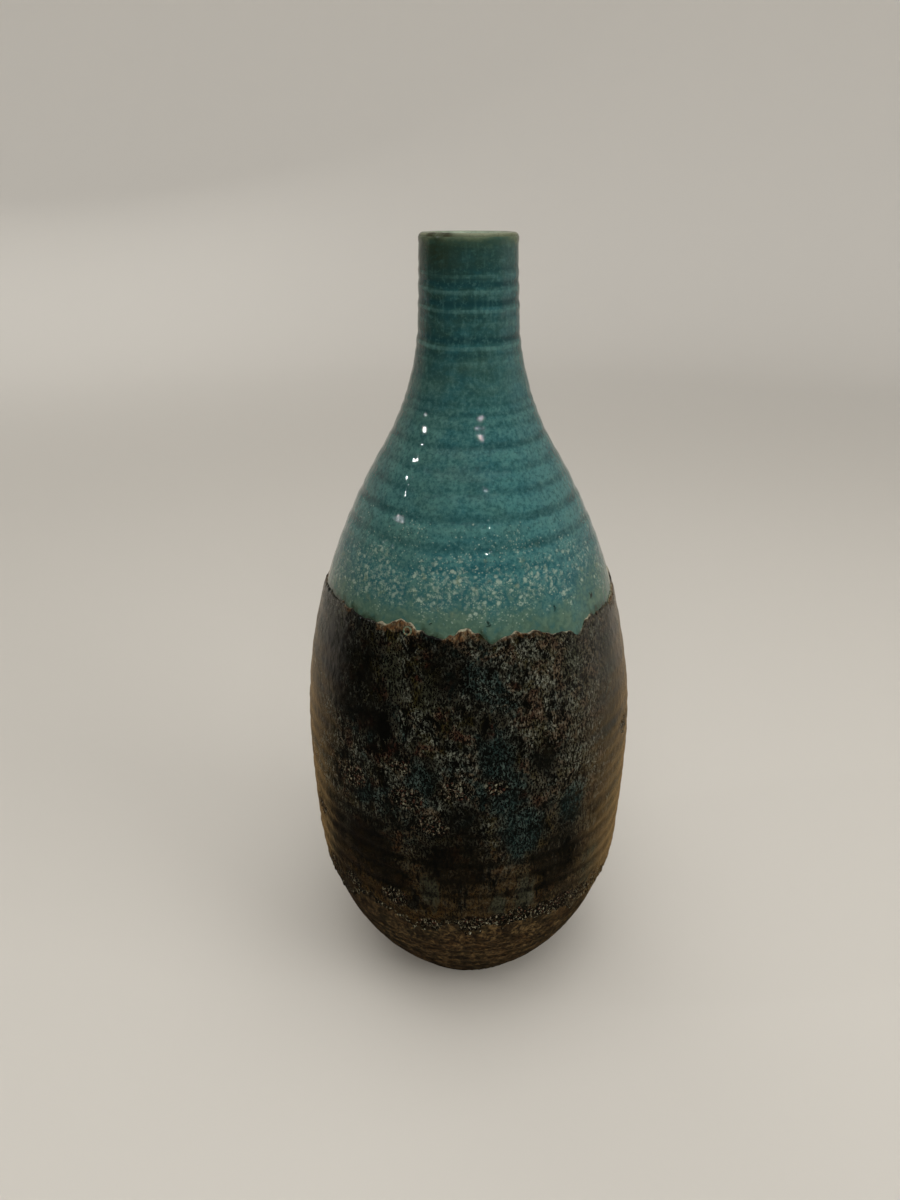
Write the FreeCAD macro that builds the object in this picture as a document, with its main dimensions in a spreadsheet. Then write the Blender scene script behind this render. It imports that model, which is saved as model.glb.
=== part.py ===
import FreeCAD, Part
import Sketcher
import math
import os

# Bottle vase: one thrown stoneware body under three glazes and a slip.
# Millimetres, +Z up. The origin is the centre of the foot, on the face that the vase rests on.
# Azimuth is 0 at the front (-Y) and grows towards +X.

doc = FreeCAD.newDocument("bottle_vase")
sizes = doc.addObject("Spreadsheet::Sheet", "Sizes")

driving_sizes = (
    ("total_height", "300", "foot to the top of the glazed lip"),
    ("neck_length", "24.4", "straight neck, from the end of the shoulder's curve to the lip"),
    ("bore_radius", "13.5", "inside of the clay neck"),
    ("neck_wall", "3.75", "clay at the root of the straight neck"),
    ("lip_wall", "2.9", "clay at the lip"),
    ("lip_round", "0.9", "rounding of the clay lip's two edges"),
    ("belly_height", "106.3", "height of the widest ring"),
    ("belly_radius", "65.1", "outside of the clay at the widest ring"),
    ("belly_wall", "5", "clay at the widest ring"),
    ("shoulder_share", "0.711", "share of the rise from belly to neck that curves outwards"),
    ("flank_height_share", "0.59", "height where the belly turns in to the foot, of the belly's height"),
    ("flank_radius_share", "0.943", "spread there, of the spread from foot to belly"),
    ("foot_radius", "34.2", "outside of the foot ring"),
    ("foot_land_height", "1.5", "upright edge of the foot ring"),
    ("foot_ring_width", "7", "width of the face that the vase rests on"),
    ("foot_recess_depth", "1.5", "hollow turned inside the foot ring"),
    ("foot_edge_round", "0.5", "rounding of the foot ring's edges"),
    ("floor_thickness", "8", "clay under the cavity, down to the resting face"),
    ("floor_inset", "2.8", "cavity's floor radius, less than the foot's"),
    ("liner_thickness", "0.4", "glaze poured over the inside"),
    ("lip_cover", "0.8", "liner glaze where it rolls over the lip"),
    ("lip_band", "2.6", "depth of the liner glaze outside, below the top"),
    ("lip_roll_round", "1.6", "rounding of the glazed lip's two edges"),
    ("turquoise_thickness", "0.7", "glaze of the neck and shoulder"),
    ("glaze_line_height", "173.5", "mean height where turquoise meets the dark crust"),
    ("glaze_line_wave", "4", "height of that line's largest tongues"),
    ("crust_thickness", "1.2", "dark crusted glaze of the belly"),
    ("crust_edge_height", "50.5", "mean height of the crust's lower edge"),
    ("crust_edge_wave", "4", "height of that edge's largest tongues"),
    ("slip_thickness", "0.4", "brown slip of the foot"),
    ("cut_overrun", "12", "how far a cutting solid runs past what it cuts"),
)

for row, (alias, number, meaning) in enumerate(driving_sizes, start=1):
    sizes.set(f"A{row}", alias.replace("_", " "))
    sizes.set(f"B{row}", number)
    sizes.setAlias(f"B{row}", alias)
    sizes.set(f"C{row}", meaning)
doc.recompute()


def value(expression):
    """The number that a size or an expression on sizes has now."""
    return float(sizes.evalExpression(expression))


# Places that several pieces share.
neck_base = "(Sizes.total_height - Sizes.neck_length)"
clay_top = "(Sizes.total_height - Sizes.lip_cover)"
band_height = "(Sizes.total_height - Sizes.lip_band)"
neck_radius = "(Sizes.bore_radius + Sizes.neck_wall)"
lip_radius = "(Sizes.bore_radius + Sizes.lip_wall)"
straight_rise = f"({clay_top} - {neck_base})"
band_share = f"(({band_height} - {neck_base}) / {straight_rise})"
band_radius = f"({neck_radius} + ({lip_radius} - {neck_radius}) * {band_share})"
flank_height = "(Sizes.belly_height * Sizes.flank_height_share)"
flank_radius = (
    "(Sizes.foot_radius + (Sizes.belly_radius - Sizes.foot_radius) * Sizes.flank_radius_share)"
)
shoulder_turn = f"(Sizes.belly_height + ({neck_base} - Sizes.belly_height) * Sizes.shoulder_share)"
floor_radius = "(Sizes.foot_radius - Sizes.floor_inset)"
recess_radius = "(Sizes.foot_radius - Sizes.foot_ring_width)"

# Two places closer than this are the same one.
same_place = 1e-6

# How constraints number an edge's start, end and centre, the origin and the upright axis.
start_index, end_index, centre_index = 1, 2, 3
origin_indices = (-1, start_index)
upright_axis_index = -2


def outer_places(coat, top_radius, top_height):
    """Radius and height of each point of the vase's outside, a coat's thickness proud of the clay."""
    return {
        "foot": (f"Sizes.foot_radius + {coat}", "Sizes.foot_land_height"),
        "flank": (f"{flank_radius} + {coat}", flank_height),
        "belly": (f"Sizes.belly_radius + {coat}", "Sizes.belly_height"),
        "neck": (f"{neck_radius} + {coat}", neck_base),
        "top": (f"{top_radius} + {coat}", top_height),
    }


def inner_places(liner, top_height):
    """Radius and height of each point of the cavity, a liner's thickness inside the clay."""
    return {
        "foot": (f"{floor_radius} - {liner}", f"Sizes.floor_thickness + {liner}"),
        "flank": (f"{flank_radius} - Sizes.belly_wall - {liner}", flank_height),
        "belly": (f"Sizes.belly_radius - Sizes.belly_wall - {liner}", "Sizes.belly_height"),
        "neck": (f"Sizes.bore_radius - {liner}", neck_base),
        "top": (f"Sizes.bore_radius - {liner}", top_height),
    }


def base_plane(body, role):
    """One of a body's own origin planes."""
    return next(plane for plane in body.Origin.OriginFeatures if plane.Role == role)


def new_sketch(body, name, role):
    """An empty sketch on one of the body's origin planes."""
    sketch = body.newObject("Sketcher::SketchObject", name)
    sketch.AttachmentSupport = (base_plane(body, role), "")
    sketch.MapMode = "FlatFace"
    return sketch


def bind_size(sketch, kind, geometry, point, name, expression):
    """Holds a point's distance from the origin, or a circle's radius, to an expression on sizes."""
    ends = (geometry,) if kind == "Radius" else (*origin_indices, geometry, point)
    index = sketch.addConstraint(Sketcher.Constraint(kind, *ends, value(expression)))
    sketch.renameConstraint(index, name)
    sketch.setExpression(f"Constraints.{name}", expression)


def bind_place(sketch, geometry, point, name, place):
    """Holds a point to a radius and a height."""
    bind_size(sketch, "DistanceX", geometry, point, f"{name}_radius", place[0])
    bind_size(sketch, "DistanceY", geometry, point, f"{name}_height", place[1])


def arc(centre, radius, first_angle, last_angle):
    """A counterclockwise arc in a sketch's plane."""
    circle = Part.Circle(FreeCAD.Vector(*centre, 0), FreeCAD.Vector(0, 0, 1), radius)
    return Part.ArcOfCircle(circle, first_angle, last_angle)


def line(first, last):
    """A straight edge in a sketch's plane."""
    return Part.LineSegment(FreeCAD.Vector(*first, 0), FreeCAD.Vector(*last, 0))


def bottle_outline(body, name, places):
    """Half section of a bottle, closed along its axis: floor, flank, belly, shoulder, neck, top."""
    sketch = new_sketch(body, name, "XZ_Plane")
    foot, flank, belly, neck, top = (
        tuple(value(part) for part in places[key]) for key in ("foot", "flank", "belly", "neck", "top")
    )

    # The belly's lower arc has its centre at the belly's height and passes the flank.
    spread = belly[0] - flank[0]
    drop = belly[1] - flank[1]
    under_radius = (spread ** 2 + drop ** 2) / (2 * spread)
    under_centre = (belly[0] - under_radius, belly[1])
    flank_angle = math.atan2(flank[1] - under_centre[1], flank[0] - under_centre[0])

    # The flank's arc continues it without a corner, down to the foot.
    out = (math.cos(flank_angle), math.sin(flank_angle))
    chord = (foot[0] - flank[0], foot[1] - flank[1])
    toward = chord[0] * out[0] + chord[1] * out[1]
    flank_arc_radius = -(chord[0] ** 2 + chord[1] ** 2) / (2 * toward)
    flank_centre = (flank[0] - out[0] * flank_arc_radius, flank[1] - out[1] * flank_arc_radius)
    foot_angle = math.atan2(foot[1] - flank_centre[1], foot[0] - flank_centre[0])

    # Shoulder and neck are two arcs that meet at the same slope and end upright.
    rise = neck[1] - belly[1]
    turn = 2 * math.atan2(belly[0] - neck[0], rise)
    both_radii = rise / math.sin(turn)
    shoulder_radius = both_radii * (value(shoulder_turn) - belly[1]) / rise
    hollow_radius = both_radii - shoulder_radius
    shoulder_centre = (belly[0] - shoulder_radius, belly[1])
    hollow_centre = (neck[0] + hollow_radius, neck[1])

    edges = {
        "floor": line((0, foot[1]), foot),
        "flank": arc(flank_centre, flank_arc_radius, foot_angle, flank_angle),
        "under": arc(under_centre, under_radius, flank_angle, 0),
        "shoulder": arc(shoulder_centre, shoulder_radius, 0, turn),
        "hollow": arc(hollow_centre, hollow_radius, math.pi, math.pi + turn),
        "neck": line(neck, top),
        "top": line(top, (0, top[1])),
        "axis": line((0, top[1]), (0, foot[1])),
    }
    number = {key: sketch.addGeometry(edge, False) for key, edge in edges.items()}

    for first, first_end, second, second_end in (
        ("floor", end_index, "flank", start_index),
        ("under", end_index, "shoulder", start_index),
        ("hollow", start_index, "neck", start_index),
        ("neck", end_index, "top", start_index),
        ("top", end_index, "axis", start_index),
        ("axis", end_index, "floor", start_index),
    ):
        ends = (number[first], first_end, number[second], second_end)
        sketch.addConstraint(Sketcher.Constraint("Coincident", *ends))
    for first, second in (("flank", "under"), ("shoulder", "hollow")):
        ends = (number[first], end_index, number[second], start_index if first == "flank" else end_index)
        sketch.addConstraint(Sketcher.Constraint("Tangent", *ends))
    for key, level_index in (("under", end_index), ("shoulder", start_index), ("hollow", start_index)):
        level = (number[key], centre_index, number[key], level_index)
        sketch.addConstraint(Sketcher.Constraint("Horizontal", *level))
    sketch.addConstraint(Sketcher.Constraint("Horizontal", number["floor"]))
    sketch.addConstraint(Sketcher.Constraint("Horizontal", number["top"]))
    for end in (start_index, end_index):
        on_axis = (number["axis"], end, upright_axis_index)
        sketch.addConstraint(Sketcher.Constraint("PointOnObject", *on_axis))

    bind_place(sketch, number["floor"], end_index, "foot", places["foot"])
    bind_place(sketch, number["flank"], end_index, "flank", places["flank"])
    bind_place(sketch, number["under"], end_index, "belly", places["belly"])
    bind_place(sketch, number["neck"], start_index, "neck", places["neck"])
    bind_place(sketch, number["neck"], end_index, "top", places["top"])
    bind_size(sketch, "DistanceY", number["shoulder"], end_index, "shoulder_turn", shoulder_turn)
    return sketch


def turned(body, kind, name, sketch):
    """A full revolution or groove of a sketch about the vase's axis."""
    feature = body.newObject(kind, name)
    feature.Profile = sketch
    feature.ReferenceAxis = (sketch, ["V_Axis"])
    return feature


def round_disc(body, name, radius):
    """A circle about the axis, in the plane of the foot."""
    sketch = new_sketch(body, name, "XY_Plane")
    circle = Part.Circle(FreeCAD.Vector(0, 0, 0), FreeCAD.Vector(0, 0, 1), value(radius))
    rim = sketch.addGeometry(circle, False)
    sketch.addConstraint(Sketcher.Constraint("Coincident", rim, centre_index, *origin_indices))
    bind_size(sketch, "Radius", rim, centre_index, "disc_radius", radius)
    return sketch


def ring_edges(feature, rings):
    """Names of the feature's circular edges that have one of these radii and heights."""
    doc.recompute()
    names = []
    for index, edge in enumerate(feature.Shape.Edges, start=1):
        if not isinstance(edge.Curve, Part.Circle):
            continue
        for radius, height in rings:
            same_radius = abs(edge.Curve.Radius - value(radius)) < same_place
            if same_radius and abs(edge.Curve.Center.z - value(height)) < same_place:
                names.append(f"Edge{index}")
    return names


def rounded(body, name, base, rings, radius):
    """A fillet along rings about the axis."""
    feature = body.newObject("PartDesign::Fillet", name)
    feature.Base = (base, ring_edges(base, rings))
    feature.Radius = value(radius)
    feature.setExpression("Radius", radius)
    return feature


# Clay body: the thrown wall, its floor and the turned foot ring.
clay = doc.addObject("PartDesign::Body", "ClayBody")
clay.Label = "clay_body"
clay_outline = bottle_outline(clay, "ClayOutline", outer_places("0", lip_radius, clay_top))
turned(clay, "PartDesign::Revolution", "ClayOutside", clay_outline)
foot_pad = clay.newObject("PartDesign::Pad", "FootRing")
foot_pad.Profile = round_disc(clay, "FootDisc", "Sizes.foot_radius")
foot_pad.setExpression("Length", "Sizes.foot_land_height")
past_top = f"{clay_top} + Sizes.cut_overrun"
cavity_outline = bottle_outline(clay, "CavityOutline", inner_places("0", past_top))
turned(clay, "PartDesign::Groove", "Cavity", cavity_outline)
recess = clay.newObject("PartDesign::Pocket", "FootRecess")
recess.Profile = round_disc(clay, "RecessDisc", recess_radius)
recess.Reversed = True
recess.setExpression("Length", "Sizes.foot_recess_depth")
foot_rings = (("Sizes.foot_radius", "0"), (recess_radius, "0"))
foot_round = "min(Sizes.foot_edge_round; Sizes.foot_land_height / 2; Sizes.foot_recess_depth / 2)"
foot_rounding = rounded(clay, "FootRounding", recess, foot_rings, foot_round)
lip_rings = ((lip_radius, clay_top), ("Sizes.bore_radius", clay_top))
clay_lip_round = "min(Sizes.lip_round; Sizes.lip_wall / 3)"
rounded(clay, "LipRounding", foot_rounding, lip_rings, clay_lip_round)


# Liner glaze: poured inside, and rolled over the lip to end in a band outside.
# The clay body is cut out of it, so the two meet along the rounded lip.
liner_blank = doc.addObject("PartDesign::Body", "LinerBlank")
liner_blank.Label = "liner_blank"
liner_core = bottle_outline(liner_blank, "LinerCore", inner_places("0", clay_top))
turned(liner_blank, "PartDesign::Revolution", "LinerOutside", liner_core)
roll = new_sketch(liner_blank, "LipRoll", "XZ_Plane")
roll_corners = {
    "inner_low": ("Sizes.bore_radius - Sizes.liner_thickness", band_height),
    "outer_low": (f"{band_radius} + Sizes.lip_cover", band_height),
    "outer_top": (f"{lip_radius} + Sizes.lip_cover", "Sizes.total_height"),
    "inner_top": ("Sizes.bore_radius - Sizes.liner_thickness", "Sizes.total_height"),
}
corner_points = [tuple(value(part) for part in place) for place in roll_corners.values()]
for first, last in zip(corner_points, corner_points[1:] + corner_points[:1]):
    roll.addGeometry(line(first, last), False)
for side, (corner, place) in enumerate(roll_corners.items()):
    following = (side + 1) % len(roll_corners)
    roll.addConstraint(Sketcher.Constraint("Coincident", side, end_index, following, start_index))
    bind_place(roll, side, start_index, corner, place)
turned(liner_blank, "PartDesign::Revolution", "LipRollRing", roll)
liner_inside = inner_places("Sizes.liner_thickness", past_top)
liner_hollow = bottle_outline(liner_blank, "LinerHollow", liner_inside)
lip_ring = turned(liner_blank, "PartDesign::Groove", "LinerCavity", liner_hollow)
roll_rings = (roll_corners["outer_top"], roll_corners["inner_top"])
roll_round = "min(Sizes.lip_roll_round; (Sizes.lip_wall + Sizes.lip_cover + Sizes.liner_thickness) / 2.2)"
rounded(liner_blank, "LipRollRounding", lip_ring, roll_rings, roll_round)
liner = doc.addObject("Part::Cut", "LinerGlaze")
liner.Label = "liner_glaze"
liner.Base = liner_blank
liner.Tool = clay


def dipped(name, thickness):
    """A coat of even thickness over the whole outside of the clay, up to the lip's band."""
    body = doc.addObject("PartDesign::Body", name)
    outside = bottle_outline(body, f"{name}Outline", outer_places(thickness, band_radius, band_height))
    turned(body, "PartDesign::Revolution", f"{name}Outside", outside)
    clay_side = bottle_outline(body, f"{name}Clay", outer_places("0", lip_radius, clay_top))
    turned(body, "PartDesign::Groove", f"{name}Inside", clay_side)
    return body


def wave_height(azimuth, height, wave, tongue_shares):
    """Height of a ragged line at an azimuth in degrees: each tongue is a smooth bump up or down."""
    rise = 0
    for middle, rise_share, spread in tongue_shares:
        away = math.remainder(azimuth - middle, 360)
        rise += rise_share * math.exp(-((away / spread) ** 2))
    return height + wave * rise


def below_line(name, height, wave, tongue_shares):
    """A ring-shaped cutting solid that fills everything below a ragged line around the vase."""
    rings = []
    for radius in (value("Sizes.bore_radius"), value("Sizes.belly_radius + Sizes.cut_overrun")):
        points = []
        for step in range(line_steps):
            azimuth = 360 * step / line_steps
            across, along = math.sin(math.radians(azimuth)), -math.cos(math.radians(azimuth))
            level = wave_height(azimuth, value(height), value(wave), tongue_shares)
            points.append(FreeCAD.Vector(radius * across, radius * along, level))
        curve = Part.BSplineCurve()
        curve.interpolate(Points=points, PeriodicFlag=True)
        rings.append(curve.toShape())
    upper = Part.makeRuledSurface(*rings)
    depth = value(height) + value("Sizes.cut_overrun")
    cutter = doc.addObject("Part::Feature", name)
    cutter.Shape = upper.extrude(FreeCAD.Vector(0, 0, -depth))
    return cutter


# Tongues of the two ragged lines: azimuth in degrees, share of the wave that it rises, spread in degrees.
line_steps = 96
glaze_line_shares = (
    (-62, 0.5, 22), (-24, 0.9, 7), (-10, -0.35, 5), (-1, 0.55, 5), (8, -0.6, 5), (41, -1.4, 7),
    (72, -0.35, 12), (100, 0.4, 12), (122, -0.7, 8), (148, 0.6, 14), (171, -0.9, 8),
    (-168, 0.35, 9), (-140, -0.6, 10), (-112, 0.6, 12),
)
crust_edge_shares = (
    (-54, -1.3, 6), (-38, 1.0, 9), (-16, -0.7, 7), (-5, 0.8, 5), (2, -0.7, 5), (20, 0.3, 14),
    (42, -0.9, 5), (54, -0.8, 6), (80, 0.5, 12), (104, -0.9, 7), (130, 0.6, 12), (155, -1.0, 6),
    (178, 0.7, 10), (-150, -0.6, 8), (-122, 0.8, 12), (-95, -0.9, 7), (-75, 0.4, 8),
)
glaze_line = below_line("GlazeLine", "Sizes.glaze_line_height", "Sizes.glaze_line_wave", glaze_line_shares)
crust_edge = below_line("CrustEdge", "Sizes.crust_edge_height", "Sizes.crust_edge_wave", crust_edge_shares)

# Turquoise glaze: the outside from the lip's band down to the glaze line.
turquoise = doc.addObject("Part::Cut", "TurquoiseGlaze")
turquoise.Label = "turquoise_glaze"
turquoise.Base = dipped("TurquoiseDip", "Sizes.turquoise_thickness")
turquoise.Tool = glaze_line

# Crust glaze: the dark belly, from the glaze line down to its own rolled edge.
crust_band = doc.addObject("Part::Common", "CrustBand")
crust_band.Base = dipped("CrustDip", "Sizes.crust_thickness")
crust_band.Tool = glaze_line
crust = doc.addObject("Part::Cut", "CrustGlaze")
crust.Label = "crust_glaze"
crust.Base = crust_band
crust.Tool = crust_edge

# Foot slip: the matt band from the crust's edge down to the foot ring.
slip = doc.addObject("Part::Common", "FootSlip")
slip.Label = "foot_slip"
slip.Base = dipped("SlipDip", "Sizes.slip_thickness")
slip.Tool = crust_edge

doc.recompute()
for item in doc.Objects:
    if {"Invalid", "Error"} & set(item.State):
        raise RuntimeError(f"{item.Label} did not build: {item.State}")
sub_parts = (clay, liner, turquoise, crust, slip)
for sub_part in sub_parts:
    shape = sub_part.Shape
    if shape.isNull() or not shape.isValid() or len(shape.Solids) != 1:
        raise RuntimeError(f"{sub_part.Label} is not one sound solid")
os.makedirs("parts", exist_ok=True)
for sub_part in sub_parts:
    sub_part.Shape.exportStep(f"parts/{sub_part.Label}.step")
    print(sub_part.Label, round(sub_part.Shape.Volume), "cubic mm")
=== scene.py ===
import bpy
import math
import numpy as np
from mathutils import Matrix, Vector


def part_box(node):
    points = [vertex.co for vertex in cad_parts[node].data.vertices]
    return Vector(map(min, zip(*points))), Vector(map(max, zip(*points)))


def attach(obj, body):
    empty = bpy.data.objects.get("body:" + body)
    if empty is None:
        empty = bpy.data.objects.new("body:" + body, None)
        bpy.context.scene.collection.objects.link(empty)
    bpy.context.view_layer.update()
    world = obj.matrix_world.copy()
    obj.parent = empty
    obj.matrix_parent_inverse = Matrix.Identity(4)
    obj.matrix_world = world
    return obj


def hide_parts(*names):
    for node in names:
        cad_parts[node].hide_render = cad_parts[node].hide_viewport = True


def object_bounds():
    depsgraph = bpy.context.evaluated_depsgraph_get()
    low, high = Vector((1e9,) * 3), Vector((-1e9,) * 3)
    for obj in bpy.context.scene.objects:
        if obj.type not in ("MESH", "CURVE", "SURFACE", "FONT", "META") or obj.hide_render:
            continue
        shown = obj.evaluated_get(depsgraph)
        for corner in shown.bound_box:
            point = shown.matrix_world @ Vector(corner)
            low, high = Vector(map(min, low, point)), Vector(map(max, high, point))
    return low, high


# A glazed stoneware bottle vase: the coats that its kiln left on it, the light and the table.
# Lengths in the dictionaries are millimetres. Azimuths are degrees, 0 at the front (-Y) and growing
# towards +X. Colours are written as they look, 0 to 255.

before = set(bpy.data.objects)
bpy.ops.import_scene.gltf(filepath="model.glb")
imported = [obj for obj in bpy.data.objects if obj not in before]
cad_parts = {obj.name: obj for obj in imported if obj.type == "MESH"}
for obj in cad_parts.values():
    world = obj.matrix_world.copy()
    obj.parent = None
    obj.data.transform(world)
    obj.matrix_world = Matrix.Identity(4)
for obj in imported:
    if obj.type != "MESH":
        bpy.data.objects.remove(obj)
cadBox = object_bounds()
mm = 0.001
clayHigh = [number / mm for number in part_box("clay_body")[1]]

vase = {
    "height": cadBox[1][2] / mm,
    "bellyRadius": clayHigh[0],
    "bellyHeight": 106.3,
    "neckBase": 275.6,
    "neckRadius": 17.25,
    "lipRadius": 16.4,
    "clayTop": clayHigh[2],
    "bandHeight": 297.4,
    "shoulderShare": 0.711,
    "flankHeight": 62.7,
    "flankRadius": 63.34,
    "footRadius": 34.2,
    "footLand": 1.5,
    "bore": 13.5,
    "bellyWall": 5.0,
    "floor": 8.0,
    "floorRadius": 31.4,
}


def arcsOf(foot, flank, belly, neck):
    # four arcs, tangent to each other: flank, under the belly, shoulder, hollow of the neck
    spread, drop = belly[0] - flank[0], belly[1] - flank[1]
    underRadius = (spread ** 2 + drop ** 2) / (2 * spread)
    outX = (flank[0] - belly[0] + underRadius) / underRadius
    outZ = (flank[1] - belly[1]) / underRadius
    chordX, chordZ = foot[0] - flank[0], foot[1] - flank[1]
    flankArc = -(chordX ** 2 + chordZ ** 2) / (2 * (chordX * outX + chordZ * outZ))
    rise = neck[1] - belly[1]
    bothArcs = rise / math.sin(2 * math.atan2(belly[0] - neck[0], rise))
    shoulderArc = bothArcs * vase["shoulderShare"]
    hollowArc = bothArcs - shoulderArc
    return (
        (flank[1], flank[0] - outX * flankArc, flank[1] - outZ * flankArc, flankArc),
        (belly[1], belly[0] - underRadius, belly[1], underRadius),
        (belly[1] + rise * vase["shoulderShare"], belly[0] - shoulderArc, belly[1], shoulderArc),
        (neck[1], neck[0] + hollowArc, neck[1], -hollowArc),
    )


def radiusOn(arcs, height, neckRadius, topRadius):
    # radius of a line of arcs at a height, or at an array of heights
    height = np.asarray(height, dtype=float)
    share = np.clip((height - vase["neckBase"]) / (vase["clayTop"] - vase["neckBase"]), 0, 1)
    radius = neckRadius + (topRadius - neckRadius) * share
    for top, centre, level, arc in reversed(arcs):
        bow = np.sqrt(np.maximum(arc ** 2 - (height - level) ** 2, 0))
        radius = np.where(height < top, centre + math.copysign(1, arc) * bow, radius)
    return radius


outerArcs = arcsOf(
    (vase["footRadius"], vase["footLand"]),
    (vase["flankRadius"], vase["flankHeight"]),
    (vase["bellyRadius"], vase["bellyHeight"]),
    (vase["neckRadius"], vase["neckBase"]),
)
innerArcs = arcsOf(
    (vase["floorRadius"], vase["floor"]),
    (vase["flankRadius"] - vase["bellyWall"], vase["flankHeight"]),
    (vase["bellyRadius"] - vase["bellyWall"], vase["bellyHeight"]),
    (vase["bore"], vase["neckBase"]),
)


def clayRadius(height):
    return radiusOn(outerArcs, height, vase["neckRadius"], vase["lipRadius"])


def cavityRadius(height):
    return radiusOn(innerArcs, height, vase["bore"], vase["bore"])


# The potter's fingers: grooves as (height, depth, half width), deepest on neck and shoulder.
throwing = {
    "grooves": (
        (289.2, 0.13, 1.2), (284.5, 0.2, 1.2), (278.4, 0.22, 1.3), (274.0, 0.1, 1.1),
        (266.6, 0.22, 1.4), (261.7, 0.12, 1.2), (254.5, 0.07, 1.6), (246.0, 0.12, 1.2),
        (242.8, 0.16, 1.1), (238.6, 0.1, 1.3), (232.5, 0.19, 1.4), (225.4, 0.13, 1.6),
        (218.5, 0.14, 1.6), (210.4, 0.27, 1.6), (201.6, 0.23, 1.8), (194.6, 0.12, 1.8),
        (186.0, 0.08, 2.4), (163.0, 0.12, 3.0), (152.0, 0.14, 2.8), (141.5, 0.14, 2.6),
        (129.0, 0.22, 2.2), (121.5, 0.16, 1.8), (114.0, 0.22, 2.0), (106.5, 0.18, 1.8),
        (98.0, 0.26, 2.2), (91.0, 0.18, 1.8), (84.0, 0.26, 2.0), (76.5, 0.2, 1.8),
        (69.0, 0.24, 2.0), (62.0, 0.18, 1.8), (56.0, 0.16, 1.8),
        (40.5, 0.2, 1.1), (36.6, 0.16, 0.9), (33.0, 0.22, 1.1), (26.8, 0.18, 1.3),
        (20.4, 0.13, 1.2), (14.0, 0.1, 1.3), (8.4, 0.1, 1.2),
    ),
    "ridgeDrop": 1.6,
    "ridgeShare": 0.45,
    "wobble": ((0.55, 1, 0.8), (0.35, 2, 2.1), (0.18, 5, 4.0)),
}


def fingerRelief(height):
    # each finger leaves a groove with a softer ridge just under it
    relief = np.zeros_like(np.asarray(height, dtype=float))
    for level, depth, width in throwing["grooves"]:
        relief = relief - depth * np.exp(-(((height - level) / width) ** 2))
        ridge = level - throwing["ridgeDrop"] * width
        relief = relief + depth * throwing["ridgeShare"] * np.exp(-(((height - ridge) / width) ** 2))
    return relief


# The two ragged lines: tongues as (azimuth, rise in mm, spread in degrees), then fine teeth.
glazeLine = {
    "height": 173.5,
    "tongues": (
        (-62, 2.0, 22), (-24, 3.4, 6), (-10.5, -1.2, 4.5), (-1, 2.4, 4.5), (8, -2.8, 2.8), (34, -2.4, 7),
        (43, -4.6, 4.2), (58, -1.3, 14), (72, -1.2, 12), (100, 1.6, 12), (122, -2.8, 8), (148, 2.4, 14),
        (171, -3.6, 8), (-168, 1.4, 9), (-140, -2.4, 10), (-112, 2.4, 12),
    ),
    "toothHeight": 0.32,
    "seed": 11,
}
crustEdge = {
    "height": 50.5,
    "tongues": (
        (-54, -5.2, 5), (-40, 4.6, 8), (-28, 2.4, 5), (-20, -2.4, 4), (-12, -3.2, 2.4), (-5, 3.6, 3.6),
        (-1, -5.0, 2.0), (6, 1.8, 4), (20, 1.2, 14), (42, -3.8, 4), (54, -3.4, 5), (80, 2.0, 12),
        (104, -3.6, 7), (130, 2.4, 12), (155, -4.0, 6), (178, 2.8, 10), (-150, -2.4, 8),
        (-122, 3.2, 12), (-95, -3.6, 7), (-75, 1.6, 8),
    ),
    "toothHeight": 0.7,
    "seed": 23,
}


# Scabs under the glaze line: azimuth, half width in degrees, depth of the rust in mm, and the share of
# cream on their edge.
scabs = (
    (-53, 5, 1.4, 0.1), (-26, 9, 3.6, 0.9), (-2.5, 6.5, 3.0, 0.8), (20, 10, 1.6, 0.6),
    (36.5, 6.5, 0.3, 0.8), (48, 4, 1.0, 0.9), (76, 9, 2.6, 0.5), (98, 7, 3.4, 0.9),
    (128, 9, 2.0, 0.3), (150, 6, 3.6, 0.8), (176, 8, 2.0, 0.4), (-158, 8, 3.2, 0.9),
    (-132, 6, 1.6, 0.2), (-108, 9, 3.0, 0.8), (-84, 6, 1.6, 0.3),
)
deepestScab = 3.6
# Dark islands that float in the glaze over the line: azimuth, height and reach in mm.
islands = (
    (7, 177.2, 1.5), (28.5, 177.6, 1.4), (33.5, 179.2, 1.7), (55, 178.2, 1.7), (-14, 177, 1.2),
    (103, 178, 1.6),
)
# Marks in the crust: azimuth, height and reach in mm. Their reach upwards is rises times that.
rises = {"blister": 0.7, "gap": 1.2, "teal": 1.3, "run": 2.4}
marks = {}
marks["blister"] = (
    (-20, 112, 8), (-4, 117, 7), (9, 118, 5), (-11.5, 101, 7), (-42, 114, 9), (-22, 124, 5),
    (-26, 63, 7), (-14, 52, 5), (1, 54, 7), (10, 55, 6), (18, 56, 7), (27, 56, 6), (35, 56, 7),
    (44, 55, 6), (52, 55, 7), (62, 54, 6), (78, 58, 7), (96, 60, 8), (70, 120, 7), (88, 108, 8),
    (112, 126, 8), (121, 56, 8), (140, 60, 8), (146, 98, 9), (160, 130, 7), (168, 56, 8),
    (-172, 60, 7), (-164, 108, 8), (-150, 58, 8), (-141, 132, 7), (-128, 60, 8), (-118, 96, 9),
    (-104, 57, 7), (-92, 120, 7), (-80, 62, 8), (-66, 84, 7), (-60, 57, 7), (-46, 60, 6),
)
# Dark gaps in the lace.
marks["gap"] = (
    (-45, 153, 17), (-34, 143, 9), (-4, 86, 15), (-27, 72, 9), (25, 128, 6), (31, 79, 13),
    (-55, 86, 10), (72, 140, 15), (95, 92, 16), (118, 150, 13), (150, 112, 16), (-176, 80, 15),
    (-160, 146, 14), (-132, 104, 16), (-108, 140, 13), (-88, 84, 14), (-70, 128, 12), (-8, 163, 9),
    (-34, 84, 13), (-2, 104, 8), (-57, 157, 11),
)
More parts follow.
